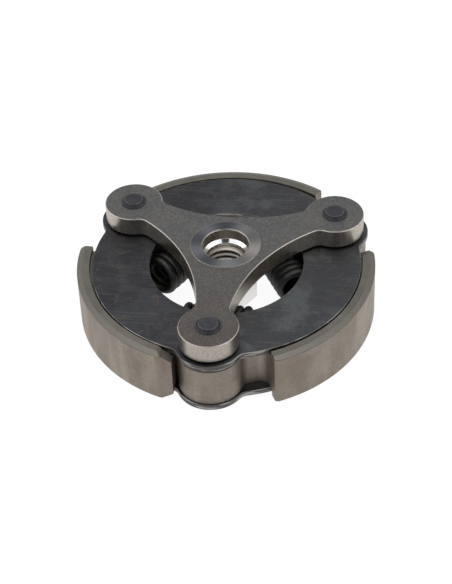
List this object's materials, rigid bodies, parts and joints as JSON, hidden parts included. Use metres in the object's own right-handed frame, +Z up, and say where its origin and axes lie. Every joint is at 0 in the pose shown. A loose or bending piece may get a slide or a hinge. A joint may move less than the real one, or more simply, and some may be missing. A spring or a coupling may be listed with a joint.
{
  "type": "centrifugal clutch",
  "caption": "Centrifugal clutch: sprung friction shoes swing out on pins held in a star-armed carrier between lobed ring plates, with a threaded crank bore and a hexagon hub.",
  "frame": {"origin": "on the crank axis, in the plane of the rims' undersides, on which the clutch stands", "axes": "+Z up along the crank axis, out of the counterbored face; -Y from the crank axis to the front pivot pin; +X to the right"},
  "size_m": [0.0746, 0.0753, 0.0209],
  "materials": {
    "carrier_steel": "matte dark grey with bright worn edges",
    "plate_steel": "satin blue-black, stained",
    "pin_steel": "satin black oxide",
    "shoe_iron": "satin brownish grey, as sintered",
    "spring_steel": "gloss black oiled wire",
    "dowel_steel": "ground"
  },
  "bodies": {
    "carrier_body": {"carrier": "carrier_steel", "upper_plate": "plate_steel", "lower_plate": "plate_steel", "front_pivot_pin": "pin_steel", "right_pivot_pin": "pin_steel", "left_pivot_pin": "pin_steel", "front_spring": "spring_steel", "right_spring": "spring_steel", "left_spring": "spring_steel"},
    "right_shoe_body": {"right_shoe": "shoe_iron", "right_shoe_lead_dowel": "dowel_steel", "right_shoe_trail_dowel": "dowel_steel"},
    "back_shoe_body": {"back_shoe": "shoe_iron", "back_shoe_lead_dowel": "dowel_steel", "back_shoe_trail_dowel": "dowel_steel"},
    "left_shoe_body": {"left_shoe": "shoe_iron", "left_shoe_lead_dowel": "dowel_steel", "left_shoe_trail_dowel": "dowel_steel"}
  },
  "joints": [
    {"name": "right_shoe_swing", "type": "hinge", "parent": "carrier_body", "child": "right_shoe_body", "pos_m": [0, -0.0297, 0.0074], "axis": [0, 0, -1], "range_deg": [0, 3], "stiffness_Nm_per_rad": 37.8, "springref_deg": -1.09, "deforming": ["front_spring", "right_spring"]},
    {"name": "back_shoe_swing", "type": "hinge", "parent": "carrier_body", "child": "back_shoe_body", "pos_m": [0.02572, 0.01485, 0.0074], "axis": [0, 0, -1], "range_deg": [0, 3], "stiffness_Nm_per_rad": 37.8, "springref_deg": -1.09, "deforming": ["right_spring", "left_spring"]},
    {"name": "left_shoe_swing", "type": "hinge", "parent": "carrier_body", "child": "left_shoe_body", "pos_m": [-0.02572, 0.01485, 0.0074], "axis": [0, 0, -1], "range_deg": [0, 3], "stiffness_Nm_per_rad": 37.8, "springref_deg": -1.09, "deforming": ["left_spring", "front_spring"]}
  ]
}
